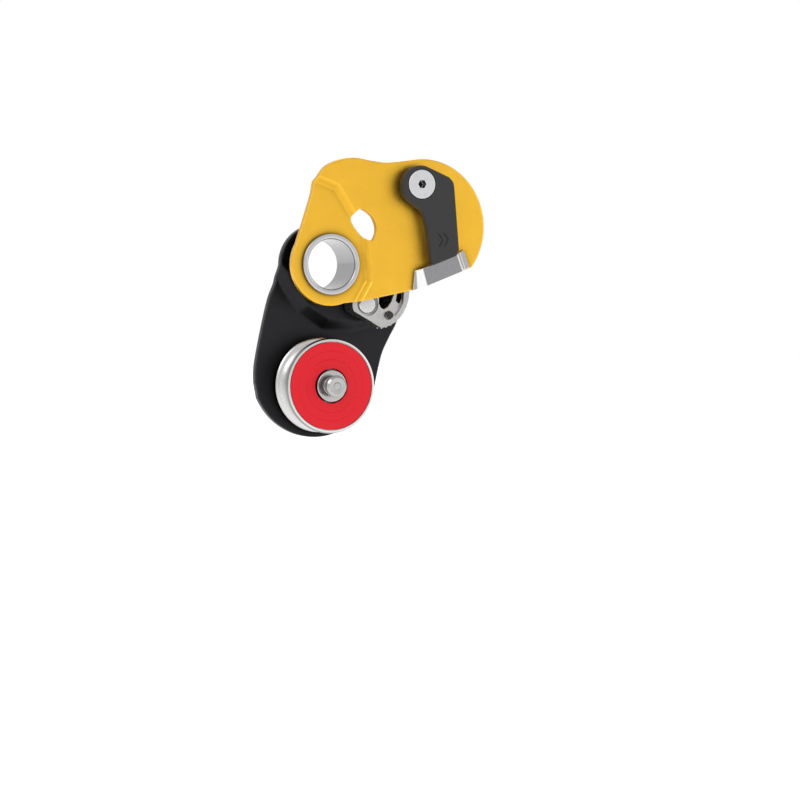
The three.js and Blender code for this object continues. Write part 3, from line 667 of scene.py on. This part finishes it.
def make_sheave():
    """Grooved wheel, with a seat for the disc in front, and a bearing pocket behind."""
    recess = -SHEAVE_HALF + DISC_THICK + 0.15
    wall, pocket = DISC_R + 0.12, BEARING_HALF + GAP
    groove_front, groove_back = 4.7, 5.7
    front = [(SHEAVE_R - 0.1, -SHEAVE_HALF + 0.75), (SHEAVE_R - 0.4, -SHEAVE_HALF + 0.1),
             (SHEAVE_R - 0.75, -SHEAVE_HALF), (wall + 0.1, -SHEAVE_HALF), (wall, -SHEAVE_HALF + 0.1),
             (wall, recess), (SHEAVE_BORE_R, recess)]
    back = [(SHEAVE_BORE_R, -pocket), (BEARING_HOLE_R, -pocket), (BEARING_HOLE_R, pocket),
            (CIRCLIP_GROOVE_R, pocket), (CIRCLIP_GROOVE_R, groove_front), (BEARING_HOLE_R, groove_front),
            (BEARING_HOLE_R, groove_back), (BEARING_HOLE_R + 0.3, SHEAVE_HALF),
            (12.6, SHEAVE_HALF), (12.9, SHEAVE_HALF - 0.4), (14.9, SHEAVE_HALF - 0.4), (15.2, SHEAVE_HALF),
            (SHEAVE_R - 0.75, SHEAVE_HALF), (SHEAVE_R - 0.4, SHEAVE_HALF - 0.1),
            (SHEAVE_R - 0.1, SHEAVE_HALF - 0.75)]
    rim_back = (SHEAVE_R, SHEAVE_HALF - 1.1)
    rim_front = (SHEAVE_R, -SHEAVE_HALF + 1.1)
    profile = [rim_back, *groove_profile(), rim_front, *front, *back]
    piece("sheave_wheel", turned(profile, AXLE, 160), "sheave_body", SHEAVE_METAL, ["sheave"])


def make_disc():
    """The red disc: a soft outer edge and fine turned lines."""
    front, back = -SHEAVE_HALF, -SHEAVE_HALF + DISC_THICK
    profile = [(DISC_BORE, back), (DISC_BORE, front + 0.15), (DISC_BORE + 0.15, front)]
    for r in (9.4, 12.4):
        profile += [(r - 0.14, front), (r, front + 0.09), (r + 0.14, front)]
    profile += [(DISC_R - 0.25, front), (DISC_R - 0.06, front + 0.08), (DISC_R, front + 0.25),
                (DISC_R, back)]
    piece("red_indicator", turned(profile, AXLE, 160), "sheave_body", RED, ["indicator_disc"], sharp=20)


def make_axle():
    """Dimpled head, neck for the slot, collar, shaft, and the head formed behind."""
    head_front, head_back, collar_front, collar_back = -11.5, -9.8, -6.6, -3.3
    rear_head, rear_end = 11.6, 12.9
    corners = [(0, head_front), (1.2, head_front), (1.5, head_front + 0.3), (3.0, head_front + 0.2),
               (HEAD_R, head_front + 0.8), (HEAD_R, head_back), (NECK_R, head_back),
               (NECK_R, collar_front), (COLLAR_R, collar_front), (COLLAR_R, collar_back),
               (SHAFT_R, collar_back), (SHAFT_R, rear_head), (REAR_HEAD_R, rear_head),
               (REAR_HEAD_R, rear_end), (0, rear_end)]
    radii = [0, 0, 0, 0.3, 0.25, 0.2, 0.15, 0.25, 0.35, 0.1, 0, 0, 0.1, 1.0, 0]
    piece("axle_steel", turned(rounded(corners, radii), AXLE), "frame", AXLE_STEEL, ["sheave_axle"])
    washer = turned(collar(SHAFT_R + GAP, 7.5, 10.5, 11.3, 0.2), AXLE)
    piece("axle_washer", washer, "frame", AXLE_STEEL, ["axle_rear_washer"])


# ------------------------------------------------------------------ cam
def cam_rim(deg):
    return CAM_RIM_R + CAM_GROWTH * deg


def at_cam(points):
    return [(x + CAM_PIVOT[0], z + CAM_PIVOT[1]) for x, z in points]


def cam_outline():
    """Spiral rim, rounded nose, round hub, and one straight flank from the hub to the rim."""
    rim = [polar(cam_rim(d), d) for d in range(CAM_TEETH_FROM - 2, CAM_TEETH_TO + 1, 2)]
    nose = spline([rim[-1], (16.3, 7), (13.1, 8.7), (3.5, 7.4), polar(CAM_HUB_R, 100)])[:-1]
    return at_cam(rim + nose + arc((0, 0), CAM_HUB_R, 100, 205, 5))


def cam_spikes():
    """Small pointed teeth on the rim, in staggered rows across its width."""
    rows, reach, foot, pitch = 4, 0.5, 0.42, 8.6
    bm = bmesh.new()
    for row in range(rows):
        y = CAM_FRONT + 1.6 + row * (CAM_BACK - CAM_FRONT - 2.4) / (rows - 1)
        start = CAM_TEETH_FROM + (pitch / 2 if row % 2 else 0)
        for deg in np.arange(start, CAM_TEETH_TO + 1, pitch):
            out = Vector((math.cos(math.radians(deg)), 0, math.sin(math.radians(deg))))
            middle = Vector((CAM_PIVOT[0], y, CAM_PIVOT[1])) + out * (cam_rim(deg) + (reach - 0.25) / 2)
            turn = out.to_track_quat("Z", "Y").to_matrix().to_4x4()
            bmesh.ops.create_cone(bm, cap_ends=True, segments=12, radius1=foot, radius2=0.08,
                                  depth=reach + 0.25, matrix=Matrix.Translation(middle) @ turn)
    return bm


def cam_windows():
    """The two holes that lighten the cam."""
    left = rounded([(4.5, 5.0), (4.4, 0.3), (5.1, -1.1), (6.3, -1.7), (7.6, -1), (9.1, 1), (10.6, 5.1)],
                   0.5, 4)
    right = rounded([(11.6, 1.2), (12.9, 0), (13.9, 2), (14.1, 5), (12.4, 5.6)], 0.4, 4)
    return [at_cam(left), at_cam(right)]


def cam_cutters():
    """Cut from the cam: front recess, stepped rim, and round pockets for button, head and spring."""
    recess = rounded([(11.6, 5.4), (10.4, 0.6), (9.5, -1.4), (10.6, -4.6), (12.6, -2.4), (13.9, 1),
                      (14.2, 5.2)], 0.4, 4)
    step = [polar(cam_rim(d) - CAM_STEP, d) for d in range(-74, 31, 4)]
    shelf = at_cam(step + [polar(cam_rim(d) + 4, d) for d in range(30, -75, -4)])
    hole, wide, head_seat = BUTTON_R + GAP, BUTTON_HEAD_R + 0.4, -2
    button_hole = [(0, -9), (wide, -9), (wide, head_seat), (hole, head_seat), (hole, 9), (0, 9)]
    pin_seat = [(0, -6), (4.1, -6), (4.1, -3.1), (0, -3.1)]
    spring_pocket = [(0, 0.8), (SPRING_POCKET_R, 0.8), (SPRING_POCKET_R, 6), (0, 6)]
    return [slab(at_cam(recess), [], -8, CAM_FRONT + 1.6, 0.05, 1),
            slab(shelf, [], -8, CAM_FRONT + 0.7, 0.02, 1),
            turned(button_hole, at_cam([LOCK_BUTTON])[0], 40),
            turned(pin_seat, CAM_PIVOT, 64),
            turned(spring_pocket, CAM_PIVOT, 64)]


def make_cam():
    holes = [*cam_windows(), circle(CAM_PIVOT, CAM_BORE_R, 6)]
    bm = combined(slab(cam_outline(), holes, CAM_FRONT, CAM_BACK, 0.3), *cam_cutters())
    spikes = bpy.data.meshes.new("spikes")
    cones = cam_spikes()
    cones.to_mesh(spikes)
    cones.free()
    bm.from_mesh(spikes)
    bpy.data.meshes.remove(spikes)
    piece("cam_casting", bm, "cam_body", CAM_STEEL, ["cam"], sharp=40)


def make_cam_pin():
    """Rivet with a low domed head in the cam's face and a formed head behind the rear plate."""
    rear, head_back, rear_head_r = REAR_PLATE["back"] + REAR_PLATE["drop"] + GAP, -3.3, 3.4
    corners = [(0, -4.55), (2.9, -4.4), (CAM_PIN_HEAD_R, -4.0), (CAM_PIN_HEAD_R, head_back),
               (CAM_PIN_R, head_back), (CAM_PIN_R, rear), (rear_head_r, rear), (rear_head_r, rear + 1),
               (0, rear + 1)]
    bm = turned(rounded(corners, [0, 0.3, 0.2, 0.1, 0, 0, 0.1, 0.5, 0]), CAM_PIVOT, 64)
    piece("cam_pivot_pin", bm, "frame", PIN_STEEL, ["cam_axle"])


def make_lock_button():
    front, head_back, back = -6.2, -5.1, 2.3
    corners = [(0, front), (BUTTON_HEAD_R, front), (BUTTON_HEAD_R, head_back), (BUTTON_R, head_back),
               (BUTTON_R, back), (0, back)]
    bm = turned(rounded(corners, [0, 0.4, 0.1, 0, 0.3, 0]), at_cam([LOCK_BUTTON])[0], 48)
    piece("lock_button", bm, "button_body", PLASTIC, ["cam_lock_button"])


# ------------------------------------------------------------------ lever
def lever_outline(inside, tip):
    """Round head about the pivot, a waist above, a belly below, and a square tip on the left."""
    loop = arc(LEVER_HEAD, LEVER_HEAD_R - inside, -38, 110)
    loop += spline([loop[-1], (9, -34.9 - inside), (5.6, -36.8 - inside), (0, -36.6 - inside)])
    corners = [(0, -36.6 - inside), (tip, -33.7 - inside), (tip, -44 + inside), (tip + 1.7, -45.6 + inside),
               (8.6, -51.3 + inside)]
    loop += rounded(corners, [0, 0.8, 0.6, 0.6, 0], 5)[1:]
    return loop + spline([loop[-1], (11.6, -51.9 + inside), (14, -51 + inside)])


def chevron(x, z):
    """One arrow stroke, its point towards the way that the tip is pressed."""
    half, rise, stroke, tilt = 2.4, 1.5, 0.8, -15
    points = [(-half, rise), (0, 0), (half, rise), (half, rise + stroke), (0, stroke),
              (-half, rise + stroke)]
    c, s = math.cos(math.radians(tilt)), math.sin(math.radians(tilt))
    return [(x + c * px - s * pz, z + s * px + c * pz) for px, pz in points]


def make_lever_cover():
    """Moulded cover, hollow behind, with a round seat for the screw and two sunk chevrons."""
    bore = circle(LEVER_PIVOT, LEVER_BORE_R, 8)
    cover = slab(lever_outline(0, COVER_TIP), [bore], LEVER_FRONT, COVER_SKIRT, 0.45, 4)
    under_roof = slab([(-14, -30), (-14, -50), (SKIRT_TIP, -50), (SKIRT_TIP, -30)], [], COVER_BACK, -5,
                      0.05, 1)
    pocket = slab(lever_outline(COVER_WALL, POCKET_TIP), [], COVER_BACK, -5, 0.05, 1)
    seat_r, seat_back = SCREW_DISC_R + 0.25, -13.9
    seat = turned([(0, -18), (seat_r, -18), (seat_r, seat_back), (0, seat_back)], LEVER_PIVOT, 72)
    strokes = [slab(chevron(*apex), [], -18, LEVER_FRONT + 0.35, 0.02, 1)
               for apex in ((-6.0, -40.9), (-6.5, -43.0))]
    cover = combined(cover, seat, pocket, under_roof, *strokes)
    piece("lever_grip", cover, "lever_body", PLASTIC, ["lever_cover"], OPENED, soften=0.06, sharp=40)


def make_lever_latch():
    """Steel plate under the cover, with the nib that stops the axle's head."""
    bore = circle(LEVER_PIVOT, LEVER_BORE_R, 8)
    latch = slab(lever_outline(COVER_WALL + 0.15, LATCH_TIP), [bore], LATCH_FRONT, LATCH_BACK, 0.18, 3)
    nib = slab(rounded([(-5.5, -43.8), (-4.0, -43.8), (-4.0, -41.8), (-5.5, -41.8)], 0.3), [],
               LATCH_BACK - 0.4, -9.8, 0.15, 2)
    piece("lever_latch", combined(latch, nib, operation="UNION"), "lever_body", LATCH_STEEL,
          ["lever_latch_plate"], OPENED)


def make_lever_screw():
    """Disc-headed screw with a hexagon socket."""
    front, disc_back, back = -15.15, -14.2, -8.6
    corners = [(0, front), (SCREW_DISC_R, front), (SCREW_DISC_R, disc_back), (SCREW_SHANK_R, disc_back),
               (SCREW_SHANK_R, back), (0, back)]
    disc = turned(rounded(corners, [0, 0.35, 0.1, 0, 0.2, 0], 6), LEVER_PIVOT, 96)
    socket = slab([polar(1.6, 60 * i + 10, LEVER_PIVOT) for i in range(6)], [], -18, -12.4, 0.02, 1)
    piece("lever_screw_steel", combined(disc, socket), "plate_body", SCREW_STEEL, ["lever_screw"], OPENED)


def make_lever_post():
    """Stepped post riveted in the front plate, and the coil of the lever's spring round it."""
    front, flange_r, flange_front, flange_back = -13.6, 4.2, -11.5, -9.8
    rivet_r, rivet_front, back = 3.3, -7.9, FRONT_PLATE["back"]
    post = [(POST_BORE_R, front), (POST_R, front), (POST_R, flange_front), (flange_r, flange_front),
            (flange_r, flange_back), (POST_R, flange_back), (POST_R, rivet_front), (rivet_r, back),
            (POST_BORE_R, back)]
    piece("lever_post_steel", turned(rounded(post, 0.12, 2), LEVER_PIVOT, 64), "plate_body", DARK_STEEL,
          ["lever_post"], OPENED)
    coil = helix(4.9, -10.2, -11.1, 1.8, 0.3, LEVER_PIVOT)
    piece("lever_coil", coil, "plate_body", DARK_STEEL, ["lever_spring"], OPENED)


# ------------------------------------------------------------------ slot bridge
def make_bridge():
    """A strip pressed into a low bridge: two feet, two slopes, a flat top, and a slanted upper end."""
    seat, thick = FRONT_PLATE["front"] - 0.05, BRIDGE_BACK - BRIDGE_FRONT
    line = [(-27.0, seat), (-28.8, seat), (-30.9, BRIDGE_BACK), (-44.8, BRIDGE_BACK), (-46.6, seat),
            (-49.35, seat), (-49.35, seat - 0.8), (-47.2, seat - thick), (-45.4, BRIDGE_FRONT),
            (-30.3, BRIDGE_FRONT), (-28.2, seat - thick), (-27.0, seat - 0.8)]
    section = rounded(line, [0.1, 0.7, 0.7, 0.7, 0.7, 0.1, 0.1, 0.9, 1.4, 1.4, 0.9, 0.1], 4)
    width = BRIDGE_RIGHT - BRIDGE_LEFT
    bm = slab(section, [], 0, width, 0.22, 3)
    middle, half, slope = -38.0, 11.0, -0.5
    for vert in bm.verts:
        z, across, y = vert.co.x, vert.co.y, vert.co.z
        slant = slope * max(0, (z - middle) / half) ** 5
        vert.co = (BRIDGE_LEFT + across, y, z + slant * (across - width / 2))
    bmesh.ops.recalc_face_normals(bm, faces=bm.faces)
    piece("slot_bridge_steel", bm, "plate_body", STRIP_STEEL, ["slot_bridge"], OPENED)


def make_bridge_rivets():
    front, head_front, back = -10.4, -7.7, FRONT_PLATE["back"]
    corners = [(0, front), (RIVET_SHANK_R, front), (RIVET_SHANK_R, head_front), (RIVET_HEAD_R, head_front),
               (RIVET_HEAD_R, back), (0, back)]
    profile = rounded(corners, [0, 0.1, 0, 0, 0.2, 0], 3)
    for name, place in zip(("upper", "lower"), RIVET_PLACES):
        piece(f"bridge_rivet_{name}_steel", turned(profile, place, 40), "plate_body", DARK_STEEL,
              [f"bridge_rivet_{name}"], OPENED)


# ------------------------------------------------------------------ inner pieces kept from the frame
def dress_inner_pieces():
    """The bearing, the cam's two springs, its bush and the rear spacer keep their CAD shape."""
    looks = {"bearing_inner_ring": DARK_STEEL, "bearing_outer_ring": DARK_STEEL, "bearing_cage": DARK_STEEL,
             "bearing_front_shield": DARK_STEEL, "bearing_rear_shield": DARK_STEEL,
             "bearing_circlip": DARK_STEEL, "cam_spring": DARK_STEEL, "cam_lock_spring": DARK_STEEL,
             "sheave_rear_spacer": SHEAVE_METAL, "cam_bush": NYLON}
    looks.update({f"bearing_ball_{i}": BALL_STEEL for i in range(1, 9)})
    for name, look in looks.items():
        dress(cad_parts[name], look)


# ------------------------------------------------------------------ studio
def make_floor():
    """A pale floor well below the hanging pulley."""
    radius, height = 6, -0.22
    bm = bmesh.new()
    bmesh.ops.create_circle(bm, cap_ends=True, segments=96, radius=radius)
    bmesh.ops.translate(bm, verts=bm.verts, vec=(0, 0, height))
    floor = as_object(bm, "studio_floor")
    n = Nodes("studio_floor", (0.9, 0.9, 0.9), 0.0, 0.7)
    n.join(n.bump(n.noise(6, 2), 0.02), "Normal")
    n.shader.inputs["Emission Color"].default_value = (1, 1, 1, 1)
    n.shader.inputs["Emission Strength"].default_value = 0.45
    floor.data.materials.append(n.material)


def make_surroundings():
    """White all round at the object's height, greyer below and a little greyer above."""
    world = bpy.data.worlds.new("studio")
    bpy.context.scene.world = world
    world.use_nodes = True
    nodes, links = world.node_tree.nodes, world.node_tree.links
    place = nodes.new("ShaderNodeTexCoord")
    split = nodes.new("ShaderNodeSeparateXYZ")
    ramp = nodes.new("ShaderNodeValToRGB")
    links.new(place.outputs["Generated"], split.inputs[0])
    height = nodes.new("ShaderNodeMapRange")
    height.inputs["From Min"].default_value = -1
    links.new(split.outputs["Z"], height.inputs["Value"])
    links.new(height.outputs["Result"], ramp.inputs["Fac"])
    links.new(ramp.outputs["Color"], nodes["Background"].inputs["Color"])
    stops = ramp.color_ramp.elements
    stops[0].position, stops[0].color = 0.0, (0.35, 0.35, 0.35, 1)
    stops[1].position, stops[1].color = 1.0, (0.75, 0.75, 0.75, 1)
    for position, grey in ((0.3, 0.5), (0.46, 1.0), (0.62, 1.0)):
        stops.new(position).color = (grey, grey, grey, 1)
    nodes["Background"].inputs["Strength"].default_value = 1.0


def soft_box(name, place, size, power):
    """A square area light, size m across, aimed at the object."""
    light = bpy.data.lights.new(name, "AREA")
    light.size, light.energy = size, power
    obj = bpy.data.objects.new(name, light)
    bpy.context.scene.collection.objects.link(obj)
    obj.location = place
    aim = Vector((0.015, 0, -0.02)) - Vector(place)
    obj.rotation_euler = aim.to_track_quat("-Z", "Y").to_euler()


def make_camera():
    """Long lens, from the left of straight-on and a little above."""
    azimuth, elevation = math.radians(-24.5), math.radians(2.5)
    distance, field, sensor = 0.9, 0.284, 36
    aim = Vector((24.2, -13.3, -48.1)) * MM
    back = Vector((math.sin(azimuth) * math.cos(elevation), -math.cos(azimuth) * math.cos(elevation),
                   math.sin(elevation)))
    data = bpy.data.cameras.new("camera")
    data.sensor_width, data.lens = sensor, sensor * distance / field
    data.clip_start, data.clip_end = 0.05, 30
    camera = bpy.data.objects.new("camera", data)
    camera.location = aim + back * distance
    camera.rotation_euler = (-back).to_track_quat("-Z", "Y").to_euler()
    bpy.context.scene.collection.objects.link(camera)
    bpy.context.scene.camera = camera
    bpy.context.scene.view_settings.view_transform = "Standard"


make_camera()
make_floor()
make_surroundings()
soft_box("key", (-0.55, -0.75, 0.55), 0.55, 2.2)
soft_box("fill", (0.75, -0.55, 0.15), 0.5, 0.8)
soft_box("top", (0.1, 0.25, 0.8), 0.5, 1.6)
make_rear_plate()
make_front_plate()
make_eye()
make_sheave()
make_disc()
make_axle()
make_cam()
make_cam_pin()
make_lock_button()
make_lever_cover()
make_lever_latch()
make_lever_screw()
make_lever_post()
make_bridge()
make_bridge_rivets()
dress_inner_pieces()
